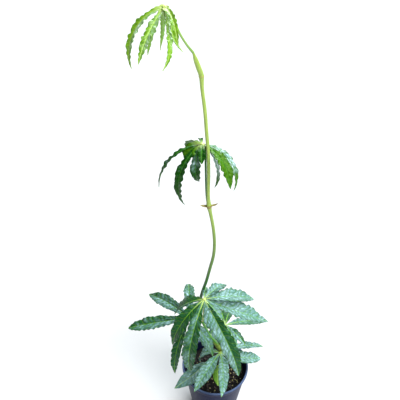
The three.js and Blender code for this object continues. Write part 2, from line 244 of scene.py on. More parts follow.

# %% [markdown]
# Moulded polypropylene is slightly waxy: a soft broad gloss over a fine pebbled skin. The paler
# lip is a painted highlight along the rolled edge, with a mottle in it. This one is dyed a slate
# blue that is almost black, so it mirrors the room weakly and a little blue.

# %% Pot finish
DYE_CLOUD, LIP_MOTTLE, PEBBLE = 1000 / 45, 1000 / 260, 0.6  # 45 clouds, 260 lip mottles to a metre
LIP_TOP, LIP_FOOT = 90, 87.2
plastic, tree, shader, place = new_material("moulded_polypropylene")
height = add_node(tree, "SeparateXYZ", {0: place}, "Z")
cloud = add_node(tree, "TexNoise",
                 {"Vector": place, "Scale": 1 / (DYE_CLOUD * MM), "Detail": 4.0})
lip_mottle = add_node(tree, "TexNoise", {"Vector": place, "Scale": 1 / (LIP_MOTTLE * MM), "Detail": 3.0})
pebble = add_node(tree, "TexNoise", {"Vector": place, "Scale": 1 / (PEBBLE * MM)})
lip = add_node(tree, "MapRange", {"Value": height, "From Min": LIP_TOP * MM,
                                  "From Max": LIP_FOOT * MM, **FALLING})
wall = add_node(tree, "Mix", {SHARE: cloud, UNDER: paint("#0e122c"), OVER: paint("#171c3c")},
                **IN_COLOUR)
# the paler lip colour is a painted highlight along the rolled edge, mottled by a noise
painted_lip_highlight = add_node(tree, "Mix", {SHARE: lip_mottle, UNDER: paint("#34405c"), OVER: paint("#52627e")},
                **IN_COLOUR)
colour = add_node(tree, "Mix", {SHARE: lip, UNDER: wall, OVER: painted_lip_highlight}, **IN_COLOUR)
skin = add_node(tree, "Bump", {"Height": pebble, "Strength": 0.15, "Distance": 0.1 * MM})
fill(shader, {"Base Color": colour, "Normal": skin, "Roughness": 0.45, "IOR": 1.49,
              "Specular IOR Level": 0.18, "Specular Tint": paint("#a4b0ff")})
pot.data.materials.clear()
pot.data.materials.append(plastic)
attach(pot, "root")
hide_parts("pot")
print("finish:", plastic.name)

# %% [markdown]
# ## Potting mix
# The mix is dark peat and bark fines. Its bed is turned up like the pot, with many rings on top,
# and a Displace modifier with a cloud texture lifts the top into crumbs.

# %% Build the bed of mix
MIX_FOOT, MIX_LEVEL, MIX_DOME = 2.3, 78, 2
MIX_FOOT_RADIUS, MIX_EDGE = 32.9, 44.1
BED_SIDES, BED_RINGS = 140, 30
TOP_DEPTH, WALL_MARGIN = 3, 0.5
CRUMBS = ((5, 2.2), (2, 1.3))  # their size, and how far they rise
CRUMB_SHARP = 60


def mix_height(radius):
    """Height of the domed top of the mix at a radius, in millimetres."""
    return MIX_LEVEL - MIX_DOME * (radius / MIX_EDGE) ** 2


bed_rings = [(MIX_FOOT_RADIUS, MIX_FOOT), (MIX_EDGE, MIX_LEVEL - MIX_DOME)]
for i in range(1, BED_RINGS):
    radius = MIX_EDGE * (1 - i / BED_RINGS)
    bed_rings.append((radius, mix_height(radius)))
bed = turn_up("mix_bed", bed_rings, BED_SIDES)
top = bed.vertex_groups.new(name="top")
on_top = [v.index for v in bed.data.vertices
          if v.co.z > (MIX_LEVEL - TOP_DEPTH) * MM
          and math.hypot(v.co.x, v.co.y) < (MIX_EDGE - WALL_MARGIN) * MM]
top.add(on_top, 1.0, "REPLACE")
for grain, rise in CRUMBS:
    crumbs = bpy.data.textures.new("crumbs", "CLOUDS")
    crumbs.noise_scale = grain * MM
    lift = bed.modifiers.new("crumbs", "DISPLACE")
    lift.texture = crumbs
    lift.vertex_group = "top"
    lift.direction = "Z"
    lift.strength = rise * MM
    bpy.context.view_layer.objects.active = bed
    bpy.ops.object.modifier_apply(modifier=lift.name)
bpy.ops.object.select_all(action="DESELECT")
bed.select_set(True)
bpy.ops.object.shade_smooth_by_angle(angle=math.radians(CRUMB_SHARP))
print("bed of mix:", len(bed.data.polygons), "faces")

# %% [markdown]
# Bark chips and pale grains of perlite lie half sunk in the mix. One chip and one grain are
# modelled, each with a few faces, and copied with a seeded turn, size and place.

# %% Chips and grains
LAY = random.Random(7)
STEM_FOOT = (12, 15)
CLEAR_OF_STEM, CLEAR_OF_WALL = 5, 2.5
LEAN = 0.5
CHIP_SHAPE, CHIP_EDGE = (1.0, 0.62, 0.3), 0.12
DENTS = (0.78, 1.12)


def scatter(name, pattern, count, sizes, sink):
    """Lay copies of a pattern on the mix, clear of the stem, and join them."""
    copies = []
    while len(copies) < count:
        radius = (MIX_EDGE - CLEAR_OF_WALL) * math.sqrt(LAY.random())
        angle = LAY.uniform(0, 2 * math.pi)
        x, y = radius * math.cos(angle), radius * math.sin(angle)
        size = LAY.uniform(*sizes)
        turn = [LAY.uniform(-LEAN, LEAN), LAY.uniform(-LEAN, LEAN), LAY.uniform(0, 2 * math.pi)]
        if math.hypot(x - STEM_FOOT[0], y - STEM_FOOT[1]) < CLEAR_OF_STEM:
            continue
        copy = bpy.data.objects.new(name, pattern.data.copy())
        height = mix_height(radius) + size * sink
        spin = Matrix.Rotation(turn[2], 4, "Z") @ Matrix.Rotation(turn[0], 4, "X")
        spin = spin @ Matrix.Rotation(turn[1], 4, "Y")
        copy.data.transform(Matrix.Translation(Vector((x, y, height)) * MM) @ spin
                            @ Matrix.Scale(size, 4))
        scene.collection.objects.link(copy)
        copies.append(copy)
    bpy.data.objects.remove(pattern)
    return join_pieces(name, copies)


def join_pieces(name, pieces):
    """Join objects into one piece with its origin at the frame's origin."""
    bpy.ops.object.select_all(action="DESELECT")
    for piece in pieces:
        piece.select_set(True)
    bpy.context.view_layer.objects.active = pieces[0]
    if len(pieces) > 1:
        bpy.ops.object.join()
    bpy.ops.object.transform_apply(location=True, rotation=True, scale=True)
    joined = bpy.context.object
    joined.name = name
    return joined


bpy.ops.object.select_all(action="DESELECT")
bpy.ops.mesh.primitive_cube_add(size=1 * MM)
chip = bpy.context.object
bpy.ops.object.mode_set(mode="EDIT")
bpy.ops.transform.resize(value=CHIP_SHAPE)
bpy.ops.mesh.bevel(offset=CHIP_EDGE * MM, segments=1, affect="EDGES")
bpy.ops.mesh.vertices_smooth(factor=0.3)
bpy.ops.object.mode_set(mode="OBJECT")
bark = scatter("bark_chips", chip, count=260, sizes=(1.8, 4.8), sink=0.16)
bpy.ops.object.select_all(action="DESELECT")
bpy.ops.mesh.primitive_ico_sphere_add(subdivisions=2, radius=0.5 * MM)
grain = bpy.context.object
dents = random.Random(3)
for v in grain.data.vertices:
    v.co *= dents.uniform(*DENTS)
perlite = scatter("perlite_grains", grain, count=84, sizes=(1.2, 2.6), sink=0.4)
print("chips and grains:", len(bark.data.polygons), len(perlite.data.polygons), "faces")

# %% [markdown]
# Damp peat is almost black and matt. Bark keeps a red-brown fibre, and perlite that has been
# watered for months is stained from white to straw and olive. A Voronoi pattern gives each
# chip or grain its own tone.

# %% Mix finishes
PEAT_CRUMB, PEAT_FIBRE, DUST = 1.6, 1000 / 420, 1000 / 900  # 420 fibres, 900 specks a metre
peat, tree, shader, place = new_material("damp_peat")
crumb = add_node(tree, "TexVoronoi",
                 {"Vector": place, "Scale": 1 / (PEAT_CRUMB * MM)}, "Distance")
fibre = add_node(tree, "TexNoise",
                 {"Vector": place, "Scale": 1 / (PEAT_FIBRE * MM), "Detail": 6.0})
fleck = add_node(tree, "MapRange",
                 {"Value": crumb, "From Min": 0.1, "From Max": 0.35, **FALLING})
colour = paint("#020202")
for share, coat in ((fibre, "#0b0807"), (fleck, "#140d0a")):
    colour = add_node(tree, "Mix", {SHARE: share, UNDER: colour, OVER: paint(coat)}, **IN_COLOUR)
rough = add_node(tree, "Bump", {"Height": fibre, "Strength": 0.6, "Distance": 0.5 * MM})
fill(shader, {"Base Color": colour, "Normal": rough, "Roughness": 0.85,
              "Specular IOR Level": 0.2})
bed.data.materials.append(peat)


def grain_finish(name, first, second, third, cell, roughness):
    """A dry granular finish whose tone changes from one chip to the next."""
    material, tree, shader, place = new_material(name)
    cells = add_node(tree, "TexVoronoi", {"Vector": place, "Scale": 1 / (cell * MM)}, "Color")
    tone, stain = [add_node(tree, "SeparateColor", {0: cells}, part) for part in (0, 1)]
    dust = add_node(tree, "TexNoise", {"Vector": place, "Scale": 1 / (DUST * MM)})
    stained = add_node(tree, "Math", {0: dust, 1: stain}, operation="MULTIPLY")
    colour = paint(first)
    for share, coat in ((tone, second), (stained, third)):
        colour = add_node(tree, "Mix", {SHARE: share, UNDER: colour, OVER: paint(coat)},
                          **IN_COLOUR)
    bump = add_node(tree, "Bump", {"Height": dust, "Strength": 0.5, "Distance": 0.3 * MM})
    fill(shader, {"Base Color": colour, "Normal": bump, "Roughness": roughness})
    return material


bark.data.materials.append(
    grain_finish("weathered_bark", "#060403", "#160e0a", "#40342a", 6, 0.8))
perlite.data.materials.append(
    grain_finish("stained_perlite", "#7c7444", "#a49c78", "#5c5e28", 5, 0.75))
for piece in (bed, bark, perlite):
    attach(piece, "root")
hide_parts("potting_mix")
print("finishes:", [piece.data.materials[0].name for piece in (bed, bark, perlite)])

# %% [markdown]
# ## Stems and stalks
# Every stem, leaf stalk and midrib is a tube of changing thickness. A smooth line runs
# through a few chosen points, a curve's points carry the radius, and Bevel makes it round.
# The curve is then turned into a mesh.

# %% Tubes
TUBE_SHARP = 50


def smooth_path(points, per_step):
    """Run a smooth line through x, y, z, radius points, spaced so that it never overshoots."""
    p = np.array(points, float)
    p = np.vstack([2 * p[0] - p[1], p, 2 * p[-1] - p[-2]])
    p[[0, -1], 3] = p[[1, -2], 3]
    knots = np.sqrt(np.linalg.norm(np.diff(p[:, :3], axis=0), axis=1))
    line = []
    for i in range(1, len(p) - 2):
        a, b, c = knots[i - 1:i + 2]
        before, here, after, beyond = p[i - 1:i + 3]
        start = ((here - before) / a - (after - before) / (a + b) + (after - here) / b) * b
        end = ((after - here) / b - (beyond - here) / (b + c) + (beyond - after) / c) * b
        for t in np.linspace(0, 1, per_step, endpoint=False):
            line.append((2 * t**3 - 3 * t**2 + 1) * here + (t**3 - 2 * t**2 + t) * start
                        + (3 * t**2 - 2 * t**3) * after + (t**3 - t**2) * end)
    line.append(p[-2])
    return np.array(line)


def make_tube(name, line, roundness):
    """Make a closed tube along a line of x, y, z, radius rows."""
    curve = bpy.data.curves.new(name, "CURVE")
    curve.dimensions = "3D"
    curve.bevel_depth = 1 * MM
    curve.bevel_resolution = roundness
    curve.use_fill_caps = True
    spline = curve.splines.new("POLY")
    spline.points.add(len(line) - 1)
    for point, (x, y, z, radius) in zip(spline.points, line):
        point.co = (x * MM, y * MM, z * MM, 1)
        point.radius = radius
    tube = bpy.data.objects.new(name, curve)
    scene.collection.objects.link(tube)
    bpy.ops.object.select_all(action="DESELECT")
    tube.select_set(True)
    bpy.context.view_layer.objects.active = tube
    bpy.ops.object.convert(target="MESH")
    tube = bpy.context.object
    bpy.ops.object.mode_set(mode="EDIT")
    bpy.ops.mesh.select_all(action="SELECT")
    bpy.ops.mesh.remove_doubles(threshold=0.001 * MM)
    bpy.ops.mesh.normals_make_consistent(inside=False)
    bpy.ops.object.mode_set(mode="OBJECT")
    bpy.ops.object.shade_smooth_by_angle(angle=math.radians(TUBE_SHARP))
    return tube


STEM = [
    (12, 15, 50, 2.2), (12, 15, 80, 2.6), (9.5, 12, 104, 3.1), (6, 10, 116, 2.4),
    (-1, 8, 132, 2.2), (-7, 7, 143, 2.1), (-18, 4, 174, 2.1), (-20, 3, 183, 2.9),
    (-22, 3, 194, 2.2), (-23.5, 4, 212, 2.1), (-20, 5, 234, 2.1), (-15, 6, 252, 2.1),
    (-10, 7, 275, 2.1), (-6, 8, 294, 2.1), (-5, 8, 314, 2.1), (-7, 8, 338, 2.1),
    (-11, 8, 361, 2.3), (-12.5, 8, 369, 3.1), (-13.3, 8, 380, 2.1), (-13.4, 8, 412, 2),
    (-14.4, 7, 441, 2), (-16.2, 6, 462, 2), (-18, 5, 484, 2), (-21, 4, 508, 2),
    (-21.8, 3, 520, 2.6), (-24.5, 1, 528, 2.6), (-27, -0.7, 535, 2.2), (-29, -2, 541, 1.2),
]
STEM_NODES = (104, 183, 369, 519)
NODE_SWELL, NODE_REACH = 0.35, 0.9
stem_line = smooth_path(STEM, 14)
for ring in STEM_NODES:
    stem_line[:, 3] += NODE_SWELL * np.exp(-((stem_line[:, 2] - ring) / NODE_REACH) ** 2)
stem = make_tube("climbing_stem", stem_line, 4)
print("stem:", len(stem.data.polygons), "faces")

# %% [markdown]
# A green stem has fine lengthwise fibres under a waxy skin. It is dark where it is old, turns
# yellow-green towards the tip, and has a pale ring at each node, where an old bract fell.
# The colours go on as coats, one over another, each by its own share.

# %% Stem finish
FIBRE_WIDTH, FIBRE_SQUASH = 0.7, 0.06
FIBRE_SHARE = 0.35
FOOT_FADE = 20
RING_HALF = 0.7


def stalk_finish(name, old, young, ring_colour, low, high, rings=(), foot=None):
    """A waxy green stalk that changes from old to young between two heights.

    foot, where there is one, is the colour below a height, and that height.
    """
    material, tree, shader, place = new_material(name)
    height = add_node(tree, "SeparateXYZ", {0: place}, "Z")
    squashed = add_node(tree, "Mapping", {"Vector": place, "Scale": (1, 1, FIBRE_SQUASH)})
    fibre = add_node(tree, "TexNoise",
                     {"Vector": squashed, "Scale": 1 / (FIBRE_WIDTH * MM), "Detail": 3.0})
    coats = [(young, height, high * MM, low * MM, 1.0)]
    if foot:
        coats.append((foot[0], height, foot[1] * MM, (foot[1] + FOOT_FADE) * MM, 1.0))
    coats.append((old, fibre, 0.35, 0.65, FIBRE_SHARE))
    colour = paint(old)
    for coat, value, start, end, most in coats:
        share = add_node(tree, "MapRange", {"Value": value, "From Min": start, "From Max": end,
                                            "To Min": most, "To Max": 0.0})
        colour = add_node(tree, "Mix", {SHARE: share, UNDER: colour, OVER: paint(coat)},
                          **IN_COLOUR)
    for ring in rings:
        near = add_node(tree, "Math", {0: height, 1: ring * MM, 2: RING_HALF * MM},
                        operation="COMPARE")
        colour = add_node(tree, "Mix", {SHARE: near, UNDER: colour, OVER: paint(ring_colour)},
                          **IN_COLOUR)
    bump = add_node(tree, "Bump", {"Height": fibre, "Strength": 0.3, "Distance": 0.2 * MM})
    fill(shader, {"Base Color": colour, "Normal": bump, "Roughness": 0.35, "IOR": 1.45,
                  "Coat Weight": 0.4, "Coat Roughness": 0.3})
    return material


stem.data.materials.append(
    stalk_finish("waxy_green_stem", "#1c5416", "#a2bc50", "#a0a450", 250, 385,
                 rings=STEM_NODES, foot=("#4e8c28", 185)))
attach(stem, "root")
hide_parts("main_stem")
print("finish:", stem.data.materials[0].name)

# %% [markdown]
# ## Leaf blades
# Each leaflet is a flat grid that is laid along its own drooping midrib. The grid's vertices
# are moved by one rule: along the midrib by their row, and sideways by their column.
# The rule also folds the blade, scallops and ruffles its edges, and puffs it up between its
# side veins. No operator bends a sheet along such a line, so the rule moves the vertices itself,
# and the operators and modifiers then crinkle the blade and give it its thickness.
# Left and right are a leaflet's own, seen from the knob where it starts towards its tip.

# %% Midrib and outline
HOOK_START = 0.6
ROUNDNESS = 0.85
TIP_HALF_WIDTH = 0.3


def blade_frame(hub, leaflet, steps, hook):
    """Return share, centre, side and up of a midrib at each row; hook turns its tip, in degrees."""
    turn, rise, droop, length, width, sweep, roll = leaflet[:7]
    t = np.linspace(0, 1, steps + 1)
    curl = hook * np.clip((t - HOOK_START) / (1 - HOOK_START), 0, 1) ** 1.5
    slope, heading = np.radians(rise - droop * t), np.radians(turn + sweep * t + curl)
    along = np.stack([np.cos(slope) * np.cos(heading), np.cos(slope) * np.sin(heading),
                      np.sin(slope)], 1)
    level = np.stack([np.sin(heading), -np.cos(heading), 0 * t], 1)
    tilt = math.radians(-roll)
    side = level * math.cos(tilt) + np.cross(along, level) * math.sin(tilt)
    up = np.cross(side, along)
    step = (along[1:] + along[:-1]) / 2 * length / steps
    centre = np.array(hub, float) + np.vstack([np.zeros(3), np.cumsum(step, 0)])
    return t, centre, side, up


def half_width(t, leaflet, style):
    """Half the blade's width at each share of its length; a blunt leaflet has its own shape."""
    peak, roundness = leaflet[7:] or (style["peak"], ROUNDNESS)
    least = np.where(t < 0.5, style["foot"], TIP_HALF_WIDTH)
    shape = np.maximum(0, np.sin(np.pi * t**peak)) ** roundness
    return np.maximum(least, leaflet[4] / 2 * shape)


print("midrib rule ready")

# %% [markdown]
# The relief is a sum of waves. A long wave swings the whole blade, lobes scallop its edge in
# and out, and a frill lifts the edge up and down. Side veins leave the midrib at a slant and
# waver, and the blade puffs up between them in cells. The puffs fade at the edge, the midrib
# and both ends, and where the blade is too narrow to hold them. The odd factors in the sums
# keep the waves from falling in step, as they never do on a real leaf.

# %% Relief of one leaflet
LONG_WAVE, SWING = 21, 0.04
LEFT_SHIFT = 0.4
LOBE_REST, LOBE_BEAT = 0.6, 17
VEIN_SLANT = 0.9
CELL_WIDTH = 4.2
FULL_RELIEF = 4
CROWN = 0.06
WIDEN_FADE = 0.32


def blade_relief(s, t, length, w, style, phase, widen):
    """Return each vertex's offset across and up, its count of side veins and its margin.

    s is the place across, from -1 at the left edge to 1 at the right one, and w half the width.
    """
    y = t * length
    edge = np.abs(s)
    full = np.minimum(1, w / FULL_RELIEF)
    shift = np.where(s < 0, LEFT_SHIFT, 0)
    wave = np.sin(2 * np.pi * (y / LONG_WAVE + shift) + phase)
    lobe = np.abs(np.sin(np.pi * (y / style["lobe"] + shift) + 1.3 * phase)) - LOBE_REST
    lobe = lobe * (1 + 0.6 * np.sin(2 * np.pi * y / LOBE_BEAT + phase))
    frill = np.sin(2 * np.pi * (y / style["frill_pitch"] + shift) + 1.7 * phase)
    right, left, end = widen
    w = w * (1 + (np.where(s > 0, right, left) - 1) * np.clip((end - t) / WIDEN_FADE, 0, 1))
    x = s * w * (1 + SWING * wave + style["scallop"] * lobe * edge**3)
    waver = 1.1 * np.sin(0.37 * y + 2 * phase) + 0.8 * np.sin(0.9 * x + 0.23 * y)
    count = (y + waver - VEIN_SLANT * np.abs(x)) / style["vein"]
    off_vein = np.abs(np.sin(np.pi * count)) ** 0.7
    cells = np.sin(2 * np.pi * np.abs(x) / CELL_WIDTH + 1.1 * np.sin(0.3 * y + phase)
                   + np.sin(0.71 * y))
    puff = style["quilt"] * (off_vein - 0.5 + 0.3 * cells)
    inner = (1 - edge**6) * np.minimum(1, 3 * edge)
    ends = np.sin(np.pi * np.clip(t, 0.02, 0.98)) ** 0.5
    ruffle = style["ripple"] * wave * edge**2 + style["frill"] * frill * edge**3
    z = edge * w * math.tan(math.radians(style["fold"])) + ends * full * (ruffle + puff * inner)
    z = z + CROWN * w * np.sin(np.pi * edge)
    margin = np.clip(edge**4 * full * (0.7 + lobe), 0, 1)
    return x, z, count, margin


print("relief rule ready")

# %% [markdown]
# The grid then gets its place, a UV map in real lengths, and attributes for its finish: the
# share of wax, partly painted sheen, on each half, how fresh its green is, how many side veins
# lie below a point, and how near the scalloped margin is. On some leaves the wax and its
# painted sheen fade towards the tip.

# %% One leaflet
GRID_STEP = 0.7
UV_SPAN = 100
SHEEN_FADE_FROM, SHEEN_FADE_OVER = 0.5, 0.3


def make_blade(name, hub, leaflet, style, phase, look=(0, 0, 0), widen=(1, 1, 1), hook=0):
    """Make one leaflet's sheet.

    look is the wax and painted sheen on its left and right half and its freshness; widen is a
    factor for the right and one for the left half, and the share of the length where both fade out.
    """
    length, width = leaflet[3:5]
    rows = max(8, round(length / GRID_STEP))
    columns = 2 * max(4, round(width / 2 / GRID_STEP))
    bpy.ops.object.select_all(action="DESELECT")
    bpy.ops.mesh.primitive_grid_add(x_subdivisions=columns, y_subdivisions=rows, size=1)
    sheet = bpy.context.object
    sheet.name = name
    flat = np.empty(len(sheet.data.vertices) * 3)
    sheet.data.vertices.foreach_get("co", flat)
    flat = flat.reshape(-1, 3)
    s = 2 * flat[:, 0]
    row = np.rint((flat[:, 1] + 0.5) * rows).astype(int)
    t, centre, side, up = blade_frame(hub, leaflet, rows, hook)
    w = half_width(t, leaflet, style)[row]
    t = t[row]
    x, z, count, margin = blade_relief(s, t, length, w, style, phase, widen)
    place = centre[row] + x[:, None] * side[row] + z[:, None] * up[row]
    sheet.data.vertices.foreach_set("co", (place * MM).ravel())
    layer = sheet.data.uv_layers[0]
    layer.name = "blade"
    corners = np.empty(len(sheet.data.loops), int)
    sheet.data.loops.foreach_get("vertex_index", corners)
    layer.data.foreach_set("uv", (np.stack([x, t * length], 1)[corners] / UV_SPAN).ravel())
    # each half's wax share also carries a painted sheen: a painted reflection of the sky panels,
    # set half by half
    wax_and_sheen = np.where(s > 0.01, look[1], np.where(s < -0.01, look[0], (look[0] + look[1]) / 2))
    wax_and_sheen = wax_and_sheen * (1 - style["tip_sheen_fade"] * np.clip((t - SHEEN_FADE_FROM) / SHEEN_FADE_OVER, 0, 1))
    for label, values in (("wax_and_sheen", wax_and_sheen), ("fresh", 0 * s + look[2]), ("vein_count", count),
                          ("margin", margin)):
        sheet.data.attributes.new(label, "FLOAT", "POINT").data.foreach_set("value", values)
    sheet.data.update()
    return sheet


print("leaflet rule ready")

# %% [markdown]
# A Displace modifier with a cloud texture crinkles the sheet, and Solidify gives it its
# thickness and an underside with a finish of its own. A thin tapered rib runs along the middle.

# %% Thickness and midrib
BLADE_THICKNESS, BLADE_SHARP = 0.5, 60
RIB_DROP, RIB_TAPER = 0.12, 5


def finish_blade(sheet, style, finishes):
    """Crinkle the sheet, give it its thickness and its upper and under finish."""
    for finish in finishes:
        sheet.data.materials.append(finish)
    crinkle = bpy.data.textures.new("crinkle", "CLOUDS")
    crinkle.noise_scale = style["crinkle_size"] * MM
    press = sheet.modifiers.new("crinkle", "DISPLACE")
    press.texture = crinkle
    press.texture_coords = "LOCAL"
    press.strength = style["crinkle"] * MM
    bpy.ops.object.modifier_apply(modifier=press.name)
    thick = sheet.modifiers.new("thick", "SOLIDIFY")
    thick.thickness = BLADE_THICKNESS * MM
    thick.offset = 0
    thick.material_offset = 1
    bpy.ops.object.modifier_apply(modifier=thick.name)
    bpy.ops.object.shade_smooth_by_angle(angle=math.radians(BLADE_SHARP))
    return sheet


def make_midrib(name, hub, leaflet, style, finish, hook):
    """Make the raised rib that runs under and along the middle of a blade."""
    length = leaflet[3]
    t, centre, side, up = blade_frame(hub, leaflet, max(8, round(length / 2)), hook)
    foot, tip = style["rib"]
    radius = tip + (foot - tip) * (1 - t) ** RIB_TAPER
    line = np.column_stack([centre - RIB_DROP * up, radius])[:-1]
    rib = make_tube(name, line, 1)
    rib.data.materials.append(finish)
    return rib


print("blade and rib ready")

# %% [markdown]
# ## Leaf finishes
# The blade is quilted and waxy: dark green, with painted shade in its sunken net and creases, a
# painted highlight on each puffed-up cell and a cool bloom of wax that is partly painted
# reflection, a yellow-green midrib, a pale hub and a paler, duller underside.
# The pattern follows the blade's own UV map and the attributes that the leaflet rule wrote:
# side veins leave the midrib every few millimetres, a net of fine veins joins them, and the
# blade wrinkles along its length. The net and the creases get painted shade, and the wax with
# its painted sheen is left out along them and in spots at the margin.
# Each feature gets a share that is full at its start and falls to 0 at its end.

# %% Features of a blade
TONE_PATCH, WAX_CLOUD = 14, 9
NET_CELL, NET_SWAY = 5, 4  # twice as coarse as the real net, so that it shows
WRINKLE_WIDTH, WRINKLE_LENGTH = 1.7, 11
RIB_LINE, RIB_FADE, RIB_SWELL = 0.25, 0.75, 36
HUB_REACH = 11
# the wax and its painted sheen are left out along the net and the creases, which get painted shade,
# and in spots at the margin
WAX_SHEEN_GAPS = {"net": 0.16, "crease": 0.42, "spotted": 0.9}
RIB_UNDER_WAX_SHEEN = 0.35
# how dark the painted shade in the net and the creases is, and how dark the margin is
PAINTED_LINE_SHADE, MARGIN_DEPTH = 0.32, 0.6


def blade_shares(tree, place, hub_pale):
    """Return the share of each feature of a blade, and the height of its fine relief."""
    on_blade = add_node(tree, "UVMap", {}, uv_map="blade")
    across, along = [add_node(tree, "SeparateXYZ", {0: on_blade}, axis) for axis in "XY"]
    wax_and_sheen, fresh, count, margin = [
        add_node(tree, "Attribute", {}, "Fac", attribute_name=label)
        for label in ("wax_and_sheen", "fresh", "vein_count", "margin")]
    off_vein = add_node(tree, "Math", {0: count, 1: 0.5}, operation="PINGPONG")
    off_middle = add_node(tree, "Math", {0: across}, operation="ABSOLUTE")
    swell = add_node(tree, "MapRange", {"Value": along, "From Min": 0.0,
                                        "From Max": RIB_SWELL / UV_SPAN,
                                        "To Min": 2.0, "To Max": 1.0})
    off_rib = add_node(tree, "Math", {0: off_middle, 1: swell}, operation="DIVIDE")
    patch = add_node(tree, "TexNoise",
                     {"Vector": place, "Scale": 1 / (TONE_PATCH * MM), "Detail": 3.0})
    cloud = add_node(tree, "TexNoise", {"Vector": place, "Scale": 1 / (WAX_CLOUD * MM)})
    sway = add_node(tree, "VectorMath", {0: cloud.node.outputs["Color"],
                                         1: (NET_SWAY * MM,) * 3, 2: place},
                    operation="MULTIPLY_ADD")
    net = add_node(tree, "TexVoronoi", {"Vector": sway, "Scale": 1 / (NET_CELL * MM)},
                   feature="DISTANCE_TO_EDGE")
    stretched = add_node(tree, "Mapping",
                         {"Vector": on_blade,
                          "Scale": (UV_SPAN / WRINKLE_WIDTH, UV_SPAN / WRINKLE_LENGTH, 1)})
    wrinkle = add_node(tree, "TexNoise", {"Vector": stretched, "Scale": 1.0, "Detail": 2.0,
                                          "Distortion": 0.6})
    wax_sheen_level = add_node(tree, "Math", {0: wax_and_sheen, 1: cloud}, operation="ADD")
    ranges = {  # the value, its start and end, and the share at its start
        "side_vein": (off_vein, 0.02, 0.14, 0.4),
        # the puffs get a paler green: a painted highlight on each raised cell
        "puff": (off_vein, 0.45, 0.1, 0.5),
        "open": (off_vein, 0.3, -0.15, 1.0),
        "midrib": (off_rib, RIB_LINE / UV_SPAN, RIB_FADE / UV_SPAN, 1.0),
        "hub": (along, 0.0, HUB_REACH / UV_SPAN, hub_pale),
        "net": (net, 0.03, 0.2, 1.0),
        "crease": (wrinkle, 0.4, 0.56, 1.0),
        "shade": (patch, 0.62, 0.38, 1.0),
        "bright": (patch, 0.62, 0.42, 1.0),
        # the wax bloom, partly a painted reflection of the sky, laid on the open cells only
        "wax_sheen": (wax_sheen_level, 1.15, 0.65, 1.0),
        "spotted": (cloud, 0.62, 0.42, 1.0),
    }
    share = {label: add_node(tree, "MapRange", {"Value": value, "From Min": start,
                                                "From Max": end, "To Min": most, "To Max": 0.0})
             for label, (value, start, end, most) in ranges.items()}
    share["fresh"] = fresh
    # the net and the creases get painted shade
    lines = add_node(tree, "Math", {0: share["net"], 1: share["crease"]}, operation="MAXIMUM")
    for label, first, second in (("spotted", share["spotted"], margin),
                                 ("wax_sheen", share["wax_sheen"], share["open"]),
                                 ("lines", lines, PAINTED_LINE_SHADE), ("margin", margin, MARGIN_DEPTH)):
        share[label] = add_node(tree, "Math", {0: first, 1: second}, operation="MULTIPLY")
    gaps = [("wax_sheen", share[label], depth) for label, depth in WAX_SHEEN_GAPS.items()]
    for label, gap, depth in (*gaps, ("midrib", wax_and_sheen, RIB_UNDER_WAX_SHEEN)):
        kept = add_node(tree, "Math", {0: gap, 1: -depth, 2: 1.0}, operation="MULTIPLY_ADD")
        share[label] = add_node(tree, "Math", {0: share[label], 1: kept}, operation="MULTIPLY")
    relief = add_node(tree, "Math", {0: wrinkle, 1: off_vein}, operation="ADD")
    return share, relief


print("wax gaps:", WAX_SHEEN_GAPS)

# %% [markdown]
# The colours of a blade go on as coats again: two greens in patches, the fresh green, the
# paler puffs as a painted highlight, the wax with its painted sheen, the dark lines as painted
# shade, the dark margin, the veins, and the pale hub.

# %% Upper side of a blade
# wax colours: a cool bloom that is partly a painted reflection of the sky
WAX_SHEEN_DULL, WAX_SHEEN_BRIGHT = "#709896", "#94b8bb"
FRESH_GREEN, HUB_COLOUR = "#4c7a00", "#c0d47c"


def blade_finish(name, dark, mid, pale, vein_colour, gloss, coat, tint="#cdf0fa",
                 wax_sheen=(WAX_SHEEN_DULL, WAX_SHEEN_BRIGHT), hub_pale=0.2):
    """The upper side of a blade, from its three greens, its vein colour and its gloss."""
    material, tree, shader, place = new_material(name)
    share, relief = blade_shares(tree, place, hub_pale)
    wax_and_sheen = add_node(tree, "Mix", {SHARE: share["bright"], UNDER: paint(wax_sheen[0]),
                                 OVER: paint(wax_sheen[1])}, **IN_COLOUR)
    # the paler puffs are a painted highlight, the dark lines painted shade, and the wax colour
    # partly a painted reflection
    colour = paint(mid)
    for label, tone in (("shade", paint(dark)), ("fresh", paint(FRESH_GREEN)),
                        ("puff", paint(pale)), ("wax_sheen", wax_and_sheen), ("lines", paint(dark)),
                        ("margin", paint(dark)), ("side_vein", paint(vein_colour)),
                        ("midrib", paint(vein_colour)), ("hub", paint(HUB_COLOUR))):
        colour = add_node(tree, "Mix", {SHARE: share[label], UNDER: colour, OVER: tone},
                          **IN_COLOUR)
    bump = add_node(tree, "Bump", {"Height": relief, "Strength": 0.2, "Distance": 0.3 * MM})
    fill(shader, {"Base Color": colour, "Normal": bump, "Roughness": gloss, "IOR": 1.48,
                  "Specular IOR Level": 0.35, "Specular Tint": paint(tint),
                  "Coat Weight": coat, "Coat Roughness": 0.42})
    return material


print("upper finish ready")

# %% [markdown]
# The underside is matt. It shows the net of veins in a paler green, and a painted sheen that
# follows the wax share of the upper side.

# %% Underside of a blade
UNDER_NET = 2.4
UNDER_VEINS, UNDER_SHEEN = 0.4, 0.8


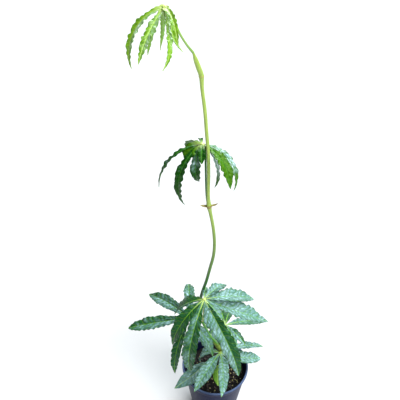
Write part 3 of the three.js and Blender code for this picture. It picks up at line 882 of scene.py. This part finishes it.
def under_finish(name, colour, vein_colour, painted_sheen_colour=WAX_SHEEN_DULL):
    """The paler, duller underside of a blade, with a painted sheen where the blade is waxed."""
    material, tree, shader, place = new_material(name)
    net = add_node(tree, "TexVoronoi", {"Vector": place, "Scale": 1 / (UNDER_NET * MM)},
                   feature="DISTANCE_TO_EDGE")
    lines = add_node(tree, "MapRange",
                     {"Value": net, "From Min": 0.02, "From Max": 0.15, **FALLING})
    wax_and_sheen = add_node(tree, "Attribute", {}, "Fac", attribute_name="wax_and_sheen")
    shade = paint(colour)
    for cover, most, coat in ((lines, UNDER_VEINS, vein_colour), (wax_and_sheen, UNDER_SHEEN, painted_sheen_colour)):
        share = add_node(tree, "Math", {0: cover, 1: most}, operation="MULTIPLY")
        shade = add_node(tree, "Mix", {SHARE: share, UNDER: shade, OVER: paint(coat)}, **IN_COLOUR)
    bump = add_node(tree, "Bump", {"Height": lines, "Strength": 0.5, "Distance": 0.4 * MM})
    fill(shader, {"Base Color": shade, "Normal": bump, "Roughness": 0.5})
    return material


print("under finish ready")

# %% [markdown]
# The newest leaf is a wet yellow-green, with a whitish painted sheen. The one below it is deep
# green and glossy, on a purple stalk, and its waxed leaflets get a near-white painted sheen.
# The full-grown leaves are dark and quilted under a dull wax, partly painted reflection. The old
# blade has dulled to a grey teal, and the young one is soft and yellow-green.

# %% All leaf finishes
FINISHES = {
    "new_leaf": (
        # the whitish wax colours here are a painted highlight, and the strong pale hub is the
        # leaf's pale base that also paints light over the shade around the knob
        blade_finish("glossy_new_blade", "#3a6e04", "#72a608", "#8cb820", "#8cb240", 0.3, 0.3,
                     "#eafac8", ("#a4cc9c", "#d8f0dc"), 0.9),
        under_finish("pale_new_underside", "#7cae2c", "#98b85c"),
        stalk_finish("tender_green_stalk", "#6c9a40", "#9cb860", "#98a860", 520, 585)),
    "dark_leaf": (
        blade_finish("glossy_dark_blade", "#042a03", "#0c4807", "#165a0c", "#35701c", 0.38, 0.03,
                     "#a4cc88", ("#a8ccd2", "#d4f0f6"), 0.6),
        # this near-white underside sheen is painted light on leaflets that hang in shade
        under_finish("dull_dark_underside", "#42721e", "#5c8040", "#dcf4f8"),
        stalk_finish("dark_purple_stalk", "#2a6a20", "#4c2c3c", "#8c944c", 434, 442)),
    "grown_leaf": (
        blade_finish("waxy_quilted_blade", "#06320a", "#0f4c13", "#1e642c", "#5e9224", 0.46,
                     0.08),
        under_finish("dull_green_underside", "#2e5c30", "#4c7444"),
        stalk_finish("green_leaf_stalk", "#6a8a34", "#b0c26e", "#a0a862", 100, 235)),
    "old_leaf": (
        blade_finish("dulled_old_blade", "#1c4030", "#2a5240", "#42685a", "#6c8c58", 0.45, 0.3),
        under_finish("grey_green_underside", "#4a6854", "#607860"),
        stalk_finish("old_leaf_stalk", "#4a5a2c", "#70763c", "#88884c", 80, 110)),
    "young_leaf": (
        blade_finish("soft_young_blade", "#4a7a16", "#629422", "#74a430", "#88a848", 0.45, 0.2),
        under_finish("yellow_green_underside", "#6e8a36", "#86984c"),
        stalk_finish("young_leaf_stalk", "#60742c", "#80903c", "#8c944c", 80, 110)),
}
print("finishes:", [m.name for group in FINISHES.values() for m in group])

# %% [markdown]
# ## Leaves
# A compound leaf is its stalk, a small flattened knob at the top of it, and a fan of leaflets.
# The table gives each leaflet as turn from +X, rise at the knob, droop to the tip, length,
# width, sideways sweep and roll about its midrib, in degrees and millimetres. A leaflet of its
# own shape adds its peak and roundness. Looks gives, leaflet by leaflet, the wax and painted
# sheen on its left and right half, and how fresh its green is. Hook turns single tips, and widen
# makes the right or the left half of single leaflets wider, up to a share of their length.

# %% Table of leaves
QUILTED = {"fold": 13, "ripple": 0.7, "lobe": 7, "scallop": 0.13, "frill_pitch": 7.5,
           "frill": 0.6, "vein": 6.5, "quilt": 0.55, "crinkle": 0.3, "crinkle_size": 3.6,
           "rib": (1.0, 0.26), "foot": 0.9, "tip_sheen_fade": 0}
LEAVES = [
    {"name": "top", "slot": "new_leaf", "hub": (-53, -10, 580, 3.2),
     "path": [(-29.2, -2.1, 541.5, 1.3), (-35, -5, 549, 1.1), (-41, -8, 559, 1.1),
              (-44, -9, 566, 1.1), (-48, -10, 575, 1.1), (-53, -10, 579, 1.3)],
     "style": {**QUILTED, "peak": 1.1, "fold": 18, "foot": 2.2, "lobe": 4.6, "scallop": 0.32,
               "frill": 0.9, "vein": 4.6, "quilt": 0.45, "tip_sheen_fade": 0.7},
     "looks": [(0.65, 0, 0), (0.75, 0.15, 0), (0, 0.2, 0), (0, 0.2, 0), (0.45, 0, 0),
               (0.2, 0.1, 0), (0.1, 0.3, 0), (0, 0.2, 0)],
     "hook": {3: 70, 4: -52, 5: 35},
     "widen": {4: (1.2, 1.4, 0.4), 6: (1.5, 1, 0.5)},
     "leaflets": [
         (194, -10, 93, 66, 7, -4, 43), (236, -32, 26, 57, 8, 4, 13),
         (137, -46, 25, 50, 6, 3, 0), (103, -27, 52, 52, 4, -4, -8),
         (284, -43, 0, 63, 5, -13, 30), (300, -66, -29, 42, 4.5, 0, 0),
         (298, -9, 62, 43, 5, -13, -25), (70, -45, 40, 32, 5, 0, 0)]},
    {"name": "middle", "slot": "dark_leaf", "hub": (-20.5, 19, 442, 3.6),
     "path": [(-12.5, 8, 366, 1.2), (-14.8, 11.5, 374, 1.2), (-16.8, 14.5, 420, 1.2),
              (-17.2, 16.5, 438, 1.2), (-20.5, 19, 441, 1.4)],
     "style": {**QUILTED, "peak": 1.2, "ripple": 0.6, "scallop": 0.2, "tip_sheen_fade": 1},
     # the full wax shares on the right-hand leaflets are painted sheen, and on the one that hangs
     # in shade painted light
     "looks": [(0.1, 0.1, 0), (0.05, 0.05, 1), (0.1, 0.1, 0), (0.05, 0.05, 1), (0.1, 0.05, 0),
               (0.35, 0.25, 0), (0.1, 0.1, 0), (1, 0.8, 1), (0, 0, 1), (1, 1, 1), (1, 1, 1)],
     "leaflets": [
         (199, 4, 93, 77, 9, -9, -2), (144, 13, 63, 26, 15, 2, -18),
         (97, 13, 46, 28, 5, 0, 0), (203, 0, 75, 27, 17, 0, 30),
         (220, -14, 110, 85, 12, -7, 10), (247, -8, 130, 52, 12, 8, -10, 1.4, 0.6),
         (268, 4, 75, 27, 8.5, 0, 0, 1.3, 0.7), (340, 3, 112, 75, 8.5, -2, -15),
         (324, -4, 80, 63, 14, -18, -3), (346, -34, 80, 59, 6.5, -16, 60),
         (15, -11, 65, 56, 9, -3, -10)]},
    {"name": "broad", "slot": "grown_leaf", "hub": (-17.5, -15, 241, 3),
     "path": [(-20, 3, 182, 1.4), (-19.5, -4, 190, 1.2), (-18, -12, 214, 1.2),
              (-17.5, -15, 240, 1.5)],
     "style": {**QUILTED, "peak": 1.15, "ripple": 0.8},
     "looks": [(0.2, 0.1, 0), (0.1, 0.05, 0), (0.15, 0.4, 0), (0.1, 0.78, 0), (0.9, 0.9, 0),
               (0.95, 0.9, 0), (1, 0.95, 0), (0.95, 0.6, 0), (0.6, 0.6, 0)],
     "widen": {0: (1.8, 1, 1.4), 3: (2.6, 1, 0.52), 5: (1, 1.35, 1)},
     "leaflets": [
         (165, -20, 50, 62, 14, -8, 0), (219, -11, 70, 77, 19, -11, 10),
         (250, -9, 104, 112, 19, -8, 3), (293, -2, 79, 110, 18.5, 28, -30, 1.3, 0.75),
         (315, -8, 25, 34, 13, 0, 0), (346, -15, 10, 90, 23, 15, 0),
         (13, 3, 42, 78, 23, 12, -5), (48, 13, 50, 51, 18, 8, 10),
         (86, 5, 36, 31, 7, -5, 5)]},
    {"name": "left", "slot": "grown_leaf", "hub": (-37, -2, 192, 2.7),
     "path": [(-20, 3, 182, 1.3), (-27, 1, 187, 1.1), (-37, -2, 191, 1.4)],
     "style": {**QUILTED, "peak": 1.1, "ripple": 0.8, "vein": 8, "quilt": 0.9, "tip_sheen_fade": 0.5},
     "looks": [(0.9, 0.45, 0), (0.75, 0.3, 0), (0.75, 0.6, 0), (0.15, 0.1, 0), (0.3, 0.3, 0),
               (0.7, 0.8, 0)],
     "widen": {5: (1.5, 1, 0.9)},
     "leaflets": [
         (143, 14, 43, 88, 18, -9, 25), (185, -3, 26, 93, 18.5, -16, 20, 1.4, 0.65),
         (92, 23, 50, 72, 16, 2, -2, 1.3, 0.65), (240, -15, 85, 88, 13, 5, 0),
         (228, -20, 90, 52, 11, 5, 0), (318, -20, 60, 66, 15, 10, 0)]},
    {"name": "right", "slot": "grown_leaf", "hub": (14, 17, 156, 2.5),
     "path": [(9, 11.5, 106, 1.3), (14, 15, 114, 1.1), (15, 17, 135, 1.1), (14, 17, 155, 1.4)],
     "style": {**QUILTED, "peak": 1.15, "ripple": 0.8},
     "looks": [(0.7, 0.35, 0), (0.1, 0.1, 0), (0.1, 0.1, 0), (0.2, 0.95, 0), (0.6, 0.6, 0),
               (0.6, 0.6, 0)],
     "leaflets": [
         (18, 3, 38, 70, 13.5, 3, -15), (75, 8, 55, 40, 12, 0, 0), (98, 12, 50, 40, 10, 0, 0),
         (318, 0, 55, 41, 11, 15, -8), (292, 22, 40, 40, 10, 0, 0),
         (150, -5, 60, 44, 11, 0, 0)]},
    {"name": "low", "slot": "grown_leaf", "hub": (7, 2, 113, 2.7),
     "path": [(10.5, 13, 95, 1.3), (8, 6, 103, 1.1), (7, 2, 112, 1.4)],
     "style": {**QUILTED, "peak": 1.2, "ripple": 0.8, "scallop": 0.08, "lobe": 9},
     "looks": [(1, 1, 0), (0.75, 0.7, 0), (0.85, 0.85, 0), (0.7, 0.7, 0), (0.9, 0.85, 0),
               (0.8, 0.8, 0)],
     "leaflets": [
         (165, 10, 110, 50, 17, 0, 0), (239, 12, 25, 73, 19.5, -1, 2),
         (278, 15, 10, 80, 15.5, -19, 19), (290, 8, 30, 32, 9, 0, 0),
         (351, -15, 0, 65, 19.5, 24, -7, 1.4, 0.6), (18, 13, 52, 78, 11, 3, -8)]},
    {"name": "old", "slot": "old_leaf", "hub": (-12, -5, 101, 0),
     "path": [(-2, 6, 55, 1.2), (-4, 4, 85, 1.2), (-12, -5, 101, 1.4)],
     "style": {**QUILTED, "peak": 0.95, "fold": 8, "ripple": 0.5, "scallop": 0.05,
               "frill": 0.3, "quilt": 0.3, "crinkle": 0.5},
     "looks": [(0.4, 0.35, 0)],
     "leaflets": [(229, 3, 16, 62, 21, -19, 17)]},
    {"name": "young", "slot": "young_leaf", "hub": (6, -5, 95, 0),
     "path": [(8, -4, 60, 1), (7, -4, 88, 1), (6, -5, 95, 1.2)],
     "style": {**QUILTED, "peak": 0.95, "fold": 10, "ripple": 0, "scallop": 0.02,
               "frill": 0.2, "quilt": 0.15},
     "looks": [(0, 0, 0)],
     "leaflets": [(258, 16, 42, 34, 15.5, 14, -9)]},
]
print("leaflets:", sum(len(leaf["leaflets"]) for leaf in LEAVES))

# %% [markdown]
# Each leaf is grown from its row: a blade and a rib for every leaflet, then the stalk and the
# knob, joined into one piece, because that is how the leaf grew.

# %% Grow the leaves
NEXT_PHASE = 2.1
KNOB_WIDTH, KNOB_HEIGHT = 0.85, 0.55


def make_knob(name, place, radius, finish):
    """Make the flattened knob where the leaflets meet."""
    bpy.ops.object.select_all(action="DESELECT")
    bpy.ops.mesh.primitive_uv_sphere_add(
        segments=24, ring_count=14, radius=radius * MM, location=Vector(place) * MM)
    knob = bpy.context.object
    knob.name = name
    bpy.ops.object.mode_set(mode="EDIT")
    bpy.ops.transform.resize(value=(KNOB_WIDTH, KNOB_WIDTH, KNOB_HEIGHT))
    bpy.ops.object.mode_set(mode="OBJECT")
    bpy.ops.object.shade_smooth()
    knob.data.materials.append(finish)
    return knob


joint_finish = stalk_finish("pale_leaf_joint", "#80963a", "#b8c870", "#c0c080", 120, 300)
for leaf in LEAVES:
    upper, under, stalk = FINISHES[leaf["slot"]]
    x, y, z, radius = leaf["hub"]
    hub = (x, y, z)
    parts = []
    for i, leaflet in enumerate(leaf["leaflets"]):
        widen = leaf.get("widen", {}).get(i, (1, 1, 1))
        hook = leaf.get("hook", {}).get(i, 0)
        sheet = make_blade("sheet", hub, leaflet, leaf["style"], NEXT_PHASE * i,
                           leaf["looks"][i], widen, hook)
        parts.append(finish_blade(sheet, leaf["style"], (upper, under)))
        parts.append(make_midrib("rib", hub, leaflet, leaf["style"], stalk, hook))
    petiole = make_tube("petiole", smooth_path(leaf["path"], 8), 2)
    petiole.data.materials.append(stalk)
    parts.append(petiole)
    if radius:
        parts.append(make_knob("knob", hub, radius, joint_finish))
    piece = join_pieces("leaf_" + leaf["name"], parts)
    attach(piece, "root")
    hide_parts(leaf["name"] + "_leaf")
    print(piece.name, len(piece.data.polygons), "faces")

# %% [markdown]
# ## Sheath and bract
# The old sheath at the foot of the stem is a sleeve cut aslant, so that it ends in a point:
# a tube is cut by Bisect and given a thin wall by Solidify.

# %% Foot sheath
SHEATH = [(8.8, 11.6, 108, 3.5), (6, 10, 116, 3.9), (-1, 8, 132, 3.6), (-6.6, 7.1, 142, 2.9)]
SHEATH_CUT, SHEATH_SLANT = (-1, 8, 132), (0.72, 0.1, 0.68)
SHEATH_WALL = 0.35
sheath = make_tube("stem_sheath", smooth_path(SHEATH, 12), 5)
bpy.ops.object.mode_set(mode="EDIT")
bpy.ops.mesh.select_all(action="SELECT")
bpy.ops.mesh.bisect(plane_co=Vector(SHEATH_CUT) * MM, plane_no=SHEATH_SLANT,
                    clear_outer=True, use_fill=False)
bpy.ops.object.mode_set(mode="OBJECT")
wall = sheath.modifiers.new("wall", "SOLIDIFY")
wall.thickness = SHEATH_WALL * MM
wall.offset = 1
bpy.ops.object.modifier_apply(modifier=wall.name)
bpy.ops.object.shade_smooth_by_angle(angle=math.radians(TUBE_SHARP))
print("sheath:", len(sheath.data.polygons), "faces")

# %% [markdown]
# A dry sheath is papery: fibres run along it, and damp stains it in olive or tan blotches.

# %% Papery finish
PAPER_FIBRE, PAPER_SQUASH, PAPER_BLOTCH = 0.6, 0.12, 5


def papery_finish(name, first, second, blotch_colour):
    """A dry papery sheath with lengthwise fibres and blotches."""
    material, tree, shader, place = new_material(name)
    squashed = add_node(tree, "Mapping", {"Vector": place, "Scale": (1, 1, PAPER_SQUASH)})
    fibre = add_node(tree, "TexNoise",
                     {"Vector": squashed, "Scale": 1 / (PAPER_FIBRE * MM), "Detail": 4.0})
    cloud = add_node(tree, "TexNoise", {"Vector": place, "Scale": 1 / (PAPER_BLOTCH * MM)})
    blotch = add_node(tree, "MapRange",
                      {"Value": cloud, "From Min": 0.4, "From Max": 0.6, **FALLING})
    colour = paint(first)
    for share, coat in ((fibre, second), (blotch, blotch_colour)):
        colour = add_node(tree, "Mix", {SHARE: share, UNDER: colour, OVER: paint(coat)},
                          **IN_COLOUR)
    bump = add_node(tree, "Bump", {"Height": fibre, "Strength": 0.5, "Distance": 0.25 * MM})
    fill(shader, {"Base Color": colour, "Normal": bump, "Roughness": 0.5})
    return material


sheath.data.materials.append(papery_finish("olive_sheath", "#4e6e1e", "#86a044", "#5c6e24"))
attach(sheath, "root")
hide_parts("foot_sheath")
print("finish:", sheath.data.materials[0].name)

# %% [markdown]
# The dry bract hugs the node under the middle leaf as a thin collar, and its two halves curl
# away as narrow scales. Each scale is a small blade made by the leaflet rule.

# %% Dry bract
BRACT_COLLAR = [(-12, 8, 366.5, 2.9), (-12.3, 8, 368, 3.35), (-12.6, 8, 370, 3.4)]
BRACT_SCALES = [(190, -15, -55, 11, 5, 0, 0), (352, 0, -45, 11.5, 4.5, 0, 0)]
BRACT_FOOT = (-12.4, 8, 369)
BRACT_STYLE = {**QUILTED, "peak": 0.9, "fold": 15, "ripple": 0.4, "scallop": 0.05, "frill": 0.2,
               "quilt": 0.05, "crinkle": 0.5, "crinkle_size": 2}
tan = papery_finish("dry_tan_bract", "#5c4022", "#8a703a", "#8e8848")
collar = make_tube("collar", smooth_path(BRACT_COLLAR, 6), 4)
collar.data.materials.append(tan)
scales = [collar]
for i, scale in enumerate(BRACT_SCALES):
    sheet = make_blade("scale", BRACT_FOOT, scale, BRACT_STYLE, i)
    scales.append(finish_blade(sheet, BRACT_STYLE, (tan, tan)))
bract = join_pieces("bract_scales", scales)
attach(bract, "root")
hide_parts("dry_bract")
print("bract:", len(bract.data.polygons), "faces")
